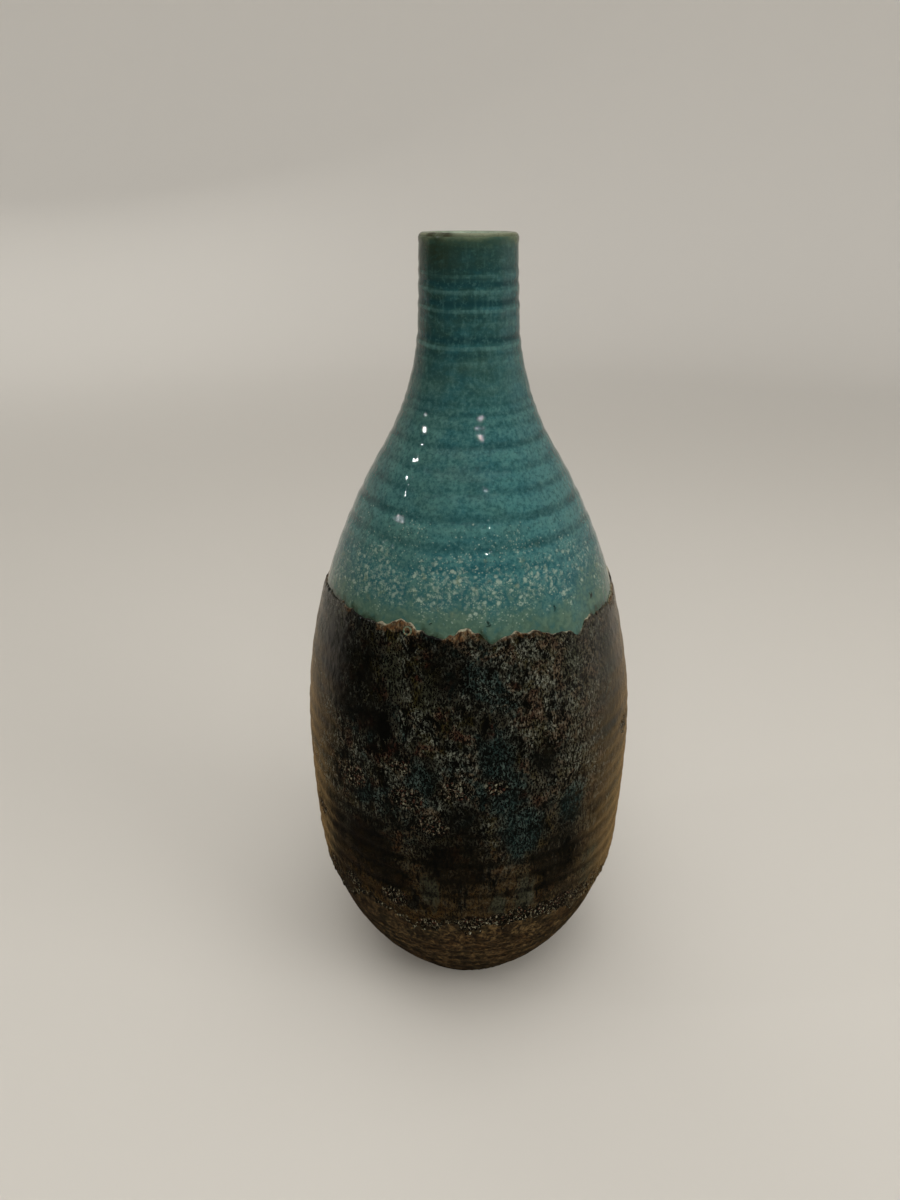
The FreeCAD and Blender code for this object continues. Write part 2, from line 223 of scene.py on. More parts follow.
# Teal lace, then grey-green runs.
marks["teal"] = (
    (17, 97, 11), (12, 112, 8), (-15, 119, 8), (9, 130, 9), (-36, 110, 6), (36, 104, 8), (84, 100, 13),
    (118, 94, 12), (150, 126, 12), (-170, 98, 13), (-136, 120, 12), (-100, 98, 13), (-76, 118, 9),
    (56, 128, 8),
)
marks["run"] = (
    (-13, 70, 5), (10, 63, 4), (19, 66, 5), (48, 68, 7), (70, 70, 6), (92, 66, 5), (112, 72, 6),
    (138, 66, 6), (162, 72, 5), (-176, 66, 6), (-150, 72, 6), (-128, 66, 5), (-104, 70, 6),
    (-82, 68, 7), (-60, 80, 9), (62, 92, 9), (-58, 104, 8), (-26, 159, 5), (-13, 152, 4),
    (38, 158, 6), (60, 150, 8), (100, 156, 7), (-178, 152, 8), (-120, 156, 7), (-92, 150, 8),
)


def turnFrom(middle, azimuth):
    # degrees from middle round to azimuth, -180 to 180
    return (azimuth - middle + 180) % 360 - 180


def scabShares(azimuth):
    # depth of the rust and share of cream along the glaze line
    depth = np.zeros_like(azimuth, dtype=float)
    cream = np.zeros_like(azimuth, dtype=float)
    for middle, width, deep, pale in scabs:
        near = np.exp(-((turnFrom(middle, azimuth) / width) ** 6))
        depth = np.maximum(depth, deep * near)
        cream = np.maximum(cream, pale * near)
    return depth, cream


def markShare(kind, height, radius, azimuth):
    # 1 in the middle of each mark, fading over its reach
    share = np.zeros_like(azimuth, dtype=float)
    for middle, level, reach in marks[kind]:
        away = turnFrom(middle, azimuth) * math.pi / 180 * radius / reach
        above = (height - level) / reach / rises[kind]
        share = np.maximum(share, np.exp(-(away ** 2) - above ** 2))
    return share


def raggedHeight(line, azimuth):
    height = np.full_like(azimuth, line["height"], dtype=float)
    for middle, rise, spread in line["tongues"]:
        height += rise * np.exp(-((turnFrom(middle, azimuth) / spread) ** 2))
    draw = np.random.default_rng(line["seed"])
    for waves in range(14, 120, 5):
        swing = line["toothHeight"] * (14 / waves) ** 0.35 * draw.uniform(0.2, 0.7)
        height += swing * np.sin(np.radians(azimuth) * waves + draw.uniform(0, 2 * math.pi))
    return height


def stopEditing():
    bpy.ops.object.mode_set(mode="OBJECT")


def pickNothing():
    if bpy.context.object and bpy.context.object.mode != "OBJECT":
        stopEditing()
    bpy.ops.object.select_all(action="DESELECT")


def editAll():
    bpy.ops.object.mode_set(mode="EDIT")
    bpy.ops.mesh.select_all(action="SELECT")


def newPiece(name):
    # a small plane in edit mode, to merge or to delete
    pickNothing()
    bpy.ops.mesh.primitive_plane_add(size=mm)
    piece = bpy.context.object
    piece.name = name
    piece.data.name = name
    editAll()
    return piece


def turned(name, outline, columns):
    # one point, extruded along the half section and spun about the vase's axis
    piece = newPiece(name)
    bpy.ops.mesh.merge(type="CENTER")
    places = [Vector((radius * mm, 0, height * mm)) for radius, height in outline]
    bpy.ops.transform.translate(value=places[0])
    for here, there in zip(places, places[1:]):
        bpy.ops.mesh.extrude_region_move(TRANSFORM_OT_translate={"value": there - here})
    bpy.ops.mesh.select_all(action="SELECT")
    bpy.ops.mesh.remove_doubles(threshold=0.001 * mm)
    stopEditing()
    spin = piece.modifiers.new("Spin", "SCREW")
    spin.axis = "Z"
    spin.steps = spin.render_steps = columns
    spin.use_merge_vertices = True
    spin.merge_threshold = 0.01 * mm
    bpy.ops.object.modifier_apply(modifier=spin.name)
    editAll()
    bpy.ops.mesh.remove_doubles(threshold=0.01 * mm)
    bpy.ops.mesh.normals_make_consistent(inside=False)
    stopEditing()
    bpy.ops.object.shade_smooth()
    return piece


def pointsOf(piece):
    # height, radius and azimuth of every point, in mm and degrees
    flat = np.empty(len(piece.data.vertices) * 3)
    piece.data.vertices.foreach_get("co", flat)
    x, y, z = flat.reshape(-1, 3).T / mm
    return z, np.hypot(x, y), np.degrees(np.arctan2(x, -y))


def putPoints(piece, height, radius, azimuth):
    turn = np.radians(azimuth)
    flat = np.column_stack((radius * np.sin(turn), -radius * np.cos(turn), height)) * mm
    piece.data.vertices.foreach_set("co", flat.ravel())
    piece.data.update()


def keepValue(piece, name, numbers):
    layer = piece.data.attributes.new(name, "FLOAT", "POINT")
    layer.data.foreach_set("value", np.asarray(numbers, dtype=np.float32))


def weigh(piece, name, weights):
    group = piece.vertex_groups.new(name=name)
    steps = np.round(np.clip(weights, 0, 1) * 20).astype(int)
    for step in range(1, 21):
        chosen = np.flatnonzero(steps == step).tolist()
        if chosen:
            group.add(chosen, step / 20, "REPLACE")


def lump(piece, name, kind, size, strength, group="", middle=0.5, **settings):
    # a Displace modifier on a cloud or cell texture, applied
    texture = bpy.data.textures.new(name, kind)
    texture.noise_scale = size * mm
    for key, setting in settings.items():
        setattr(texture, key, setting)
    bump = piece.modifiers.new(name, "DISPLACE")
    bump.texture = texture
    bump.texture_coords = "LOCAL"
    bump.strength = strength * mm
    bump.mid_level = middle
    bump.vertex_group = group
    pickNothing()
    bpy.context.view_layer.objects.active = piece
    piece.select_set(True)
    bpy.ops.object.modifier_apply(modifier=bump.name)


def evenSteps(first, last, spacing):
    count = max(1, round(abs(last - first) / spacing))
    return [first + (last - first) * step / count for step in range(count + 1)]


def roundedRim(level, thickness, reach, under, direction):
    # points of a rolled rim, from the coat's face in to the clay: direction is 1 for a top rim
    points = []
    for step in range(1, 7):
        turn = math.pi / 2 * step / 6
        offset = under + (thickness - under) * math.cos(turn)
        points.append((level - direction * reach * (1 - math.sin(turn)), offset))
    return points


def wallRadius(height):
    # the clay with its finger grooves, at one height
    return float(clayRadius(height) + fingerRelief(height))


# A coat's back lies this deep in the clay. Points deeper than the limit count as its back.
coatBack = {"depth": 0.6, "limit": 0.3}


def flatRows(first, last, spacing, offset):
    return [(height, offset) for height in evenSteps(first, last, spacing)]


def coatOutline(rows, backSpacing):
    # rows are (height, offset from the clay); the coat's back closes the ring against the clay
    front = [(wallRadius(height) + offset, height) for height, offset in rows]
    backHeights = evenSteps(rows[-1][0], rows[0][0], backSpacing)
    back = [(float(clayRadius(height)) - coatBack["depth"], height) for height in backHeights]
    return front + back + front[:1]


def isFront(height, radius):
    return radius > clayRadius(height) - coatBack["limit"]


def wobbleAt(azimuth):
    # how far the finger grooves climb at an azimuth
    turn = np.radians(azimuth)
    return sum(swing * np.sin(waves * turn + start) for swing, waves, start in throwing["wobble"])


def alongLines(piece, lines, falloff):
    # carries the rows near a ragged line up and down with it, and bends the finger grooves a little
    height, radius, azimuth = pointsOf(piece)
    moved = height.copy()
    for line in lines:
        near = np.exp(-(((height - line["height"]) / falloff) ** 2))
        moved += (raggedHeight(line, azimuth) - line["height"]) * near
    face = clayRadius(moved) + fingerRelief(moved + wobbleAt(azimuth))
    offset = radius - clayRadius(height) - fingerRelief(height)
    inside = offset < -coatBack["limit"]
    radius = np.where(inside, clayRadius(moved) - coatBack["depth"], face + offset)
    putPoints(piece, moved, radius, azimuth)


def markLines(piece):
    # what the finishes need to know of every point: its place above both lines, and its groove
    height, radius, azimuth = pointsOf(piece)
    keepValue(piece, "aboveLine", height - raggedHeight(glazeLine, azimuth))
    keepValue(piece, "aboveEdge", height - raggedHeight(crustEdge, azimuth))
    keepValue(piece, "groove", -fingerRelief(height + wobbleAt(azimuth)))
    depth, cream = scabShares(azimuth)
    keepValue(piece, "scabDepth", depth)
    keepValue(piece, "cream", cream)
    for kind in marks:
        keepValue(piece, kind, markShare(kind, height, radius, azimuth))


turquoiseCoat = {
    "thickness": 0.7,
    "columns": 500,
    "rowSpacing": 0.85,
    "underlap": 1.6,
    "overlap": 1.4,
    "lipThickness": 0.9,
    "lipRound": 0.2,
    "lipStep": 1.2,
    "backSpacing": 6.0,
    "falloff": 16.0,
}


def makeTurquoise():
    # it climbs over the lower part of the pale band, and hides under the crust below
    coat = turquoiseCoat
    high, low = vase["bandHeight"] + coat["overlap"], glazeLine["height"] - coat["underlap"]
    thick, edge, step = coat["lipThickness"], coat["lipRound"], coat["lipStep"]
    rows = [(high, thick - edge), (high - edge, thick), (high - step, thick)]
    rows += flatRows(high - 2 * step, low, coat["rowSpacing"], coat["thickness"])
    piece = turned("turquoiseCoat", coatOutline(rows, coat["backSpacing"]), coat["columns"])
    alongLines(piece, (glazeLine,), coat["falloff"])
    height, radius, azimuth = pointsOf(piece)
    highFade = np.clip((vase["bandHeight"] - height) / 6, 0, 1)
    lowFade = np.clip((height - glazeLine["height"] - 2) / 12, 0.25, 1)
    weigh(piece, "face", isFront(height, radius) * highFade * lowFade)
    lump(piece, "outOfRound", "CLOUDS", 30, 0.5, "face", noise_depth=0)
    lump(piece, "pooling", "CLOUDS", 7, 0.16, "face", noise_depth=1)
    lump(piece, "orangePeel", "CLOUDS", 2.4, 0.07, "face", noise_depth=0)
    markLines(piece)
    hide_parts("turquoise_glaze")
    return piece


crustCoat = {
    "thickness": 1.2,
    "columns": 512,
    "rowSpacing": 0.8,
    "rimSpacing": 0.4,
    "rimDepth": 5.0,
    "rimReach": 0.7,
    "topUnder": 0.4,
    "lowUnder": 0.2,
    "backSpacing": 8.0,
    "falloff": 16.0,
}


def makeCrust():
    coat = crustCoat
    top, low = glazeLine["height"], crustEdge["height"]
    thick, reach, depth = coat["thickness"], coat["rimReach"], coat["rimDepth"]
    rows = roundedRim(top, thick, reach, coat["topUnder"], 1)[::-1]
    rows += flatRows(top - reach, top - depth, coat["rimSpacing"], thick)
    rows += flatRows(top - depth, low + depth, coat["rowSpacing"], thick)[1:]
    rows += flatRows(low + depth, low + reach, coat["rimSpacing"], thick)[1:]
    rows += roundedRim(low, thick, reach, coat["lowUnder"], -1)
    piece = turned("crustCoat", coatOutline(rows, coat["backSpacing"]), coat["columns"])
    alongLines(piece, (glazeLine, crustEdge), coat["falloff"])
    height, radius, azimuth = pointsOf(piece)
    outside = isFront(height, radius)
    fromTop = raggedHeight(glazeLine, azimuth) - height
    fromLow = height - raggedHeight(crustEdge, azimuth)
    weigh(piece, "face", outside * np.clip(np.minimum(fromTop, fromLow) / 3, 0.15, 1))
    scabShare = 0.25 + 0.75 * scabShares(azimuth)[0] / deepestScab
    lowRim = np.exp(-((fromLow - 1.6) / 2.6) ** 2)
    blistered = np.maximum(lowRim * 0.7, markShare("blister", height, radius, azimuth))
    weigh(piece, "topRim", outside * scabShare * np.exp(-((fromTop - 1.2) / 2.0) ** 2))
    weigh(piece, "blistered", outside * blistered * np.clip(fromLow / 1.5, 0, 1))
    lump(piece, "outOfRound", "CLOUDS", 34, 0.7, "face", noise_depth=0)
    lump(piece, "runs", "CLOUDS", 8, 0.3, "face", noise_depth=2)
    lump(piece, "scabs", "CLOUDS", 2.4, 1.3, "topRim", middle=0.35, noise_depth=1)
    lump(piece, "beads", "VORONOI", 2.4, -1.3, "blistered")
    lump(piece, "crawl", "CLOUDS", 2.2, 0.26, "face", noise_depth=1)
    markLines(piece)
    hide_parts("crust_glaze")
    return piece


beads = {
    "rimCount": 230,
    "rimRise": (-0.3, 2.6),
    "rimSize": (0.35, 0.95),
    "blisterCount": 9,
    "blisterSize": (0.25, 0.6),
    "proud": 1.0,
    "squash": 0.65,
    "batch": 40,
    "seed": 5,
}
# Burst bubbles by the glaze line: azimuth, height, ring radius and ring thickness in mm.
craters = (
    (-22, 173.9, 1.35, 0.36), (97, 173.6, 1.1, 0.32), (152, 172.8, 0.9, 0.28),
    (-156, 173.8, 1.25, 0.34),
)


def tiltOf(height):
    # how far the wall's normal points up, in radians
    step = 0.5
    return math.atan2(float(clayRadius(height - step) - clayRadius(height + step)), 2 * step)


def emptyPiece(name):
    # an empty mesh in edit mode, ready for primitives
    piece = newPiece(name)
    bpy.ops.mesh.delete(type="VERT")
    return piece


def wallPlace(azimuth, height, proud):
    turn = math.radians(azimuth)
    radius = wallRadius(height) + proud
    return radius * math.sin(turn) * mm, -radius * math.cos(turn) * mm, height * mm


def makeBeads():
    # glaze that boiled at the crust's lower rim and in its blistered places, as small drops
    draw = np.random.default_rng(beads["seed"])
    spots = []
    for azimuth in draw.uniform(-180, 180, beads["rimCount"]):
        edge = float(raggedHeight(crustEdge, np.array([azimuth]))[0])
        spots.append((azimuth, edge + draw.uniform(*beads["rimRise"]), draw.uniform(*beads["rimSize"])))
    for azimuth, height, reach in marks["blister"]:
        for _ in range(beads["blisterCount"]):
            level = height + draw.normal(0, reach * 0.35)
            away = math.degrees(draw.normal(0, reach * 0.45) / float(clayRadius(height)))
            spots.append((azimuth + away, level, draw.uniform(*beads["blisterSize"])))
    batches = []
    for first in range(0, len(spots), beads["batch"]):
        batches.append(emptyPiece("crustBeads"))
        for azimuth, height, size in spots[first:first + beads["batch"]]:
            bpy.ops.mesh.primitive_uv_sphere_add(
                segments=8,
                ring_count=5,
                radius=size * mm,
                location=wallPlace(azimuth, height, beads["proud"]),
                rotation=(0, 0, math.radians(azimuth)),
                scale=(1, beads["squash"], 1),
            )
    pickNothing()
    for batch in batches:
        batch.select_set(True)
    bpy.context.view_layer.objects.active = piece = batches[0]
    bpy.ops.object.join()
    bpy.ops.object.shade_smooth()
    markLines(piece)
    return piece


def makeCraters():
    # the rims of bubbles that burst late and healed as rings
    piece = emptyPiece("burstBubbles")
    for azimuth, height, radius, thickness in craters:
        bpy.ops.mesh.primitive_torus_add(
            major_segments=28,
            minor_segments=10,
            major_radius=radius * mm,
            minor_radius=thickness * mm,
            location=wallPlace(azimuth, height, beads["proud"] + thickness),
            rotation=(math.pi / 2 - tiltOf(height), 0, math.radians(azimuth)),
        )
    stopEditing()
    bpy.ops.object.shade_smooth()
    return piece


slipCoat = {
    "thickness": 0.4,
    "columns": 460,
    "rowSpacing": 0.7,
    "underlap": 1.8,
    "endStep": 0.6,
    "endThickness": 0.15,
    "backSpacing": 6.0,
    "falloff": 12.0,
}


def makeSlip():
    coat = slipCoat
    high, low = crustEdge["height"] + coat["underlap"], vase["footLand"]
    rows = flatRows(high, low + coat["endStep"], coat["rowSpacing"], coat["thickness"])
    rows.append((low, coat["endThickness"]))
    piece = turned("footSlip", coatOutline(rows, coat["backSpacing"]), coat["columns"])
    alongLines(piece, (crustEdge,), coat["falloff"])
    height, radius, azimuth = pointsOf(piece)
    weigh(piece, "face", isFront(height, radius) * np.clip((height - low - 0.3) / 4, 0, 1))
    lump(piece, "slipWaves", "CLOUDS", 9, 0.25, "face", noise_depth=1)
    lump(piece, "slipGrain", "CLOUDS", 1.8, 0.22, "face", noise_depth=1)
    markLines(piece)
    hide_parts("foot_slip")
    return piece


linerCoat = {
    "thickness": 0.4,
    "lipCover": 0.8,
    "rollRadius": 1.6,
    "rollSteps": 8,
    "bandRound": 0.5,
    "bandSlope": 0.15,
    "lipUnder": 0.6,
    "columns": 320,
    "rowSpacing": 3.0,
    "floorSpacing": 4.0,
    "backSpacing": 8.0,
}


def makeLiner():
    # poured inside, up the bore, rolled over the lip and ended in a band just under it
    coat = linerCoat
    thin, cover = coat["thickness"], coat["lipCover"]
    boreFace = vase["bore"] - thin
    outFace = vase["lipRadius"] + cover
    top, roll = vase["height"], coat["rollRadius"]
    floor, band, under = vase["floor"], vase["bandHeight"], coat["lipUnder"]
    floorRadii = evenSteps(0, vase["floorRadius"] - thin, coat["floorSpacing"])
    outline = [(radius, floor + thin) for radius in floorRadii[:-1]]
    heights = evenSteps(floor + thin, top - roll, coat["rowSpacing"])
    outline += [(float(cavityRadius(height)) - thin, height) for height in heights]
    turns = [math.pi / 2 * step / coat["rollSteps"] for step in range(coat["rollSteps"] + 1)]
    for turn in turns[1:]:
        outline.append((boreFace + roll * (1 - math.cos(turn)), top - roll * (1 - math.sin(turn))))
    for turn in turns:
        outline.append((outFace - roll * (1 - math.sin(turn)), top - roll * (1 - math.cos(turn))))
    edge = float(clayRadius(band))
    outline += [(edge + cover, band + coat["bandRound"]), (edge + cover - coat["bandSlope"], band)]
    outline += [(edge - 0.4, band), (vase["lipRadius"] - under, vase["clayTop"] - under)]
    outline.append((vase["bore"] + 0.5, vase["clayTop"] - under))
    backHeights = evenSteps(vase["clayTop"] - 2, floor, coat["backSpacing"])
    outline += [(float(cavityRadius(height)) + 0.1, height) for height in backHeights]
    outline.append((0, floor))
    piece = turned("linerGlaze", outline, coat["columns"])
    markLines(piece)
    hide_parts("liner_glaze")
    return piece


class Wire:
    # an output socket that takes part in sums; each sum adds its Math node
    def __init__(self, recipe, socket):
        self.recipe = recipe
        self.socket = socket

    def math(self, operation, *others):
        values = {index: other for index, other in enumerate((self, *others))}
        return self.recipe.node("ShaderNodeMath", {"operation": operation}, values)

    def __add__(self, other):
        return self.math("ADD", other)

    def __sub__(self, other):
        return self.math("SUBTRACT", other)

    def __rsub__(self, other):
        return self.recipe.node("ShaderNodeMath", {"operation": "SUBTRACT"}, {0: other, 1: self})

    def __mul__(self, other):
        return self.math("MULTIPLY", other)

    def __truediv__(self, other):
        return self.math("DIVIDE", other)

    __radd__ = __add__
    __rmul__ = __mul__

    def atLeast(self, other):
        return self.math("MAXIMUM", other)

    def swing(self, amount):
        # a share of 0 to 1 as an amount up or down
        return (self - 0.5) * amount

    def between(self, low, high):
        # 0 at low, 1 at high, smooth between
        values = {0: self, 1: low, 2: high, 3: 0.0, 4: 1.0}
        return self.recipe.node("ShaderNodeMapRange", {"interpolation_type": "SMOOTHSTEP"}, values)


def paint(red, green, blue):
    # a colour as it looks, 0 to 255, as the renderer's own numbers
    linear = []
    for share in (red / 255, green / 255, blue / 255):
        linear.append(share / 12.92 if share <= 0.04045 else ((share + 0.055) / 1.055) ** 2.4)
    return (*linear, 1.0)


class Layers:
    # a colour laid on in layers, each over its share of those under it
    def __init__(self, recipe, tone):
        self.recipe = recipe
        self.colour = paint(*recipe.tones[tone])

    def lay(self, tone, share):
        over = tone.colour if isinstance(tone, Layers) else paint(*self.recipe.tones[tone])
        self.colour = self.recipe.mix(share, self.colour, over)


class Recipe:
    # the nodes of one material, or of the room
    def __init__(self, owner, tones=None):
        self.owner = owner
        self.tones = tones
        owner.use_nodes = True
        self.tree = owner.node_tree
        self.tree.nodes.clear()
        self.place = None

    def node(self, kind, settings=None, sockets=None, output=0):
        made = self.tree.nodes.new(kind)
        for key, setting in (settings or {}).items():
            setattr(made, key, setting)
        for key, entry in (sockets or {}).items():
            if isinstance(entry, Wire):
                self.tree.links.new(entry.socket, made.inputs[key])
            else:
                made.inputs[key].default_value = entry
        if not made.outputs:
            return made
        return Wire(self, made.outputs[output])

    def vector(self, operation, sockets, output=0):
        return self.node("ShaderNodeVectorMath", {"operation": operation}, sockets, output)

    def scaled(self, x, y, z, place=None):
        return self.vector("MULTIPLY", {0: place or self.place, 1: (x, y, z)})

    def along(self, axis):
        # how far the place is along X, Y or Z, in mm
        return self.node("ShaderNodeSeparateXYZ", {}, {0: self.place}, axis)

    def outward(self):
        # the distance from the vase's axis in mm
        return self.vector("LENGTH", {0: self.scaled(1, 1, 0)}, "Value")

    def side(self):
        # the sine of the azimuth: -1 on the left of the front, 1 on its right
        return self.along("X") / self.outward()

    def noise(self, size, detail=2.0, roughness=0.5, stretch=(1, 1, 1), distortion=0.0, place=None):
        # cloud noise whose spots are about size mm across, longer where stretch is above 1
        where = self.scaled(*(1 / (size * share) for share in stretch), place=place)
        values = {"Vector": where, "Scale": 1.0, "Detail": detail, "Roughness": roughness}
        values["Distortion"] = distortion
        return self.node("ShaderNodeTexNoise", {}, values)

    def pushed(self, amount, size):
        # the place, moved about by up to amount mm, for broken outlines
        where = self.scaled(1 / size, 1 / size, 1 / size)
        values = {"Vector": where, "Scale": 1.0, "Detail": 1.0}
        cloud = self.node("ShaderNodeTexNoise", {}, values, "Color")
        swing = self.vector("SUBTRACT", {0: cloud, 1: (0.5, 0.5, 0.5)})
        push = self.vector("SCALE", {0: swing, "Scale": amount})
        return self.vector("ADD", {0: self.place, 1: push})

    def cells(self, size, place, output="Distance", **settings):
        where = self.scaled(1 / size, 1 / size, 1 / size, place)
        return self.node("ShaderNodeTexVoronoi", settings, {"Vector": where, "Scale": 1.0}, output)

    def dots(self, size, place, edge, chance):
        # round dots, one in every cell whose own random number is under the chance
        present = self.cells(size, place, "Color").math("LESS_THAN", chance)
        return (1 - self.cells(size, place).between(*edge)) * present

    def stored(self, name):
        return self.node("ShaderNodeAttribute", {"attribute_name": name}, {}, "Fac")

    def near(self, azimuth, height, reach, softness=0.5):
        # 1 around a place on the outside, fading to 0 at reach mm
        radius = float(clayRadius(height))
        turn = math.radians(azimuth)
        spot = (radius * math.sin(turn), -radius * math.cos(turn), height)
        away = self.vector("DISTANCE", {0: self.pushed(reach * 0.5, reach * 0.6), 1: spot}, "Value")
        return 1 - away.between(reach * (1 - softness), reach)

    def mix(self, share, first, second):
        settings = {"data_type": "RGBA"}
        return self.node("ShaderNodeMix", settings, {0: share, 6: first, 7: second}, 2)

    def finish(self, layers, roughness, heights, specular, ior=1.45):
        # heights in mm feed the bump
        relief = {"Height": heights * mm, "Strength": 1.0, "Distance": 1.0}
        return self.shade({
            "Base Color": layers.colour,
            "Roughness": roughness,
            "Normal": self.node("ShaderNodeBump", {}, relief),
            "Specular IOR Level": specular,
            "IOR": ior,
        })

    def shade(self, values):
        shader = self.node("ShaderNodeBsdfPrincipled", {}, values)
        self.node("ShaderNodeOutputMaterial", {}, {"Surface": shader})
        return self.owner


def materialRecipe(name, tones):
    # lengths in a material's nodes are mm in the piece's own space
    recipe = Recipe(bpy.data.materials.new(name), tones)
    place = recipe.node("ShaderNodeTexCoord", output="Object")
    recipe.place = recipe.scaled(1 / mm, 1 / mm, 1 / mm, place)
    return recipe


turquoisePaint = {
    "neck": (28, 55, 51),
    "darkBandAndShade": (34, 50, 40),
    "clear": (84, 122, 121),
    "shoulder": (57, 103, 102),
    "pool": (32, 78, 84),
    "groove": (22, 54, 56),
    "ridge": (84, 123, 117),
    "olive": (62, 80, 62),
    "milky": (67, 88, 72),
    "cloudyAndReflection": (90, 110, 92),
    "speck": (132, 148, 133),
    "tan": (118, 122, 92),
    "rim": (86, 96, 74),
    "seep": (34, 42, 28),
    "island": (12, 18, 16),
}


def turquoiseMaterial():
    recipe = materialRecipe("turquoiseGlaze", turquoisePaint)
    height = recipe.along("Z")
    side = recipe.side()
    aboveLine = recipe.stored("aboveLine")
    groove = recipe.stored("groove")
    cloud = recipe.noise(30, 3, 0.55, (1, 1, 0.7))
    mottle = recipe.noise(8, 4, 0.6, (1.2, 1.2, 0.8))
    streak = recipe.noise(3.0, 4, 0.65, (1.6, 1.6, 0.8))
    grain = recipe.noise(1.3, 3, 0.65)
    peel = recipe.noise(2.6, 2, 0.5)
    swell = recipe.noise(3.2, 0)
    ripple = recipe.noise(1.6, 1, 0.5)
    hairs = recipe.noise(2.4, 3, 0.6, (0.8, 0.8, 5.0))
    neck = height.between(232, 262)
    calm = 1 - neck * 0.3

    colour = Layers(recipe, "shoulder")
    colour.lay("neck", (height + cloud.swing(40)).between(200, 285))
    colour.lay("pool", mottle.between(0.42, 0.66) * 0.6)
    colour.lay("ridge", streak.between(0.5, 0.75) * calm * 0.38)
    colour.lay("pool", streak.between(0.5, 0.28) * calm * 0.6)
    colour.lay("olive", cloud.between(0.5, 0.68) * 0.25)
    # painted light by azimuth: painted shade on the left of the neck, and a painted pale reflection on
    # the left of the shoulder
    shade = Layers(recipe, "cloudyAndReflection")
    shade.lay("darkBandAndShade", neck)
    across = side + mottle.swing(0.8)
    colour.lay(shade, across.between(0.1, -0.7) * (neck * 0.25 + 0.17))
    # painted light: the right side is laid lighter in clear turquoise
    colour.lay("clear", across.between(0.0, 0.8) * 0.2)
    # darker in the finger grooves and lighter on the ridge just under each: partly glaze pooled thick
    # and thinned over the ridge, partly painted shade in the groove and painted light on the ridge's
    # upward face; worn sets the strength of this groove shade, not wear
    carved = groove + (mottle.swing(0.16) + streak.swing(0.1)) * calm
    worn = cloud.between(0.62, 0.42) * 0.35 + neck * 0.45 + 0.35
    colour.lay("groove", carved.between(0.0, 0.22) * worn)
    crest = (0 - carved).between(0.0, 0.12) * (hairs.between(0.3, 0.7) * 0.35 + neck * 0.24 + 0.1)
    colour.lay("ridge", crest)
    colour.lay("ridge", hairs.between(0.52, 0.7) * 0.16)
    colour.lay("groove", hairs.between(0.48, 0.3) * 0.25)
    colour.lay("ridge", grain.between(0.5, 0.7) * calm * 0.32)
    colour.lay("groove", grain.between(0.54, 0.32) * calm * 0.55)
    lip = height + mottle.swing(7) + streak.swing(4)
    # a darker band under the lip, with painted shade added on the left side
    colour.lay("darkBandAndShade", lip.between(284.0, 294.0) * (0.45 - side * 0.25))
    colour.lay("olive", lip.between(294.0, 297.6) * 0.5)
    colour.lay("rim", lip.between(296.6, 299.0) * 0.8)
    smear = recipe.near(-38, 294.5, 11, 1.0) * streak.between(0.34, 0.6)
    colour.lay("seep", smear * 0.75)

    # the milky band over the line, and patches of it that climb
    milky = 1 - (aboveLine + cloud.swing(30) + mottle.swing(26)).between(0, 22)
    colour.lay("milky", milky * 0.85)
    colour.lay("cloudyAndReflection", milky * peel.between(0.48, 0.66) * 0.5)
    colour.lay("pool", milky * peel.between(0.46, 0.3) * 0.4)

    # crystal specks: a dense belt above the milky band, thinning out upwards
    belt = height.between(175.5, 186) * (1 - height.between(190, 206))
    crowd = recipe.noise(13, 3, 0.6).swing(1.5)
    crumb = recipe.noise(1.35, 3, 0.62, place=recipe.pushed(0.6, 1.4))
    crumbs = (crumb + (belt - 1) * 0.16 + crowd * 0.22).between(0.55, 0.64) * height.between(216, 206)
    flakes = recipe.dots(2.0, recipe.pushed(0.9, 1.2), (0.22, 0.5), belt * (crowd * 3.0 + 0.85))
    flakes = flakes * crumb.between(0.36, 0.52)
    dustBelt = height.between(172, 182) * (1 - height.between(192, 220))
    dustChance = dustBelt * (crowd * 2.4 + 0.65)
    dust = recipe.dots(0.95, recipe.pushed(0.5, 0.8), (0.1, 0.44), dustChance)
    bright = recipe.noise(2.6, 2, 0.5).between(0.35, 0.65) * 0.65 + 0.26
    specks = (crumbs * 0.7).atLeast(dust * 0.85).atLeast(flakes)
    colour.lay("pool", belt * (grain.between(0.54, 0.4) * 0.45 + 0.15))
    blotch = recipe.cells(6, recipe.pushed(4.0, 3.0))
    blotches = (1 - blotch.between(0.1, 0.32)) * belt * crumb.between(0.36, 0.56)
    colour.lay("tan", blotches * 0.5)
    colour.lay("speck", specks * bright)

    # where no cream edges the crust, its dark seeps up into the glaze; dark islands float over it
    teeth = recipe.noise(3.2, 4, 0.62)
    seep = (aboveLine + teeth.swing(6) + grain.swing(3)).between(3.0, -0.2)
    seep = seep * recipe.stored("cream").between(0.6, 0.1)
    colour.lay("seep", seep * (grain.between(0.34, 0.56) * 0.5 + 0.4))
    dark = 0.0
    for azimuth, level, reach in islands:
        dark = recipe.near(azimuth, level, reach) + dark
    dark = dark * teeth.between(0.44, 0.54)
    colour.lay("island", dark)

    roughness = 0.04 + specks * 0.2 + streak * 0.02
    relief = swell * 0.15 + ripple * 0.06 + specks * 0.03
    return recipe.finish(colour, roughness, relief, 0.5)


crustPaint = {
    "black": (5, 5, 3),
    "brown": (60, 44, 20),
    "olive": (50, 44, 18),
    "film": (54, 52, 42),
    "run": (54, 55, 42),
    "paintedRightHaze": (78, 71, 56),
    "teal": (20, 35, 33),
    "maroon": (52, 28, 19),
    "fleck": (98, 102, 88),
    "paleFleck": (158, 160, 146),
    "tealFleck": (50, 72, 68),
    "warmFleck": (112, 88, 60),
    "rust": (98, 66, 34),
    "tan": (118, 104, 78),
    "cream": (156, 152, 128),
    "blister": (66, 40, 30),
}


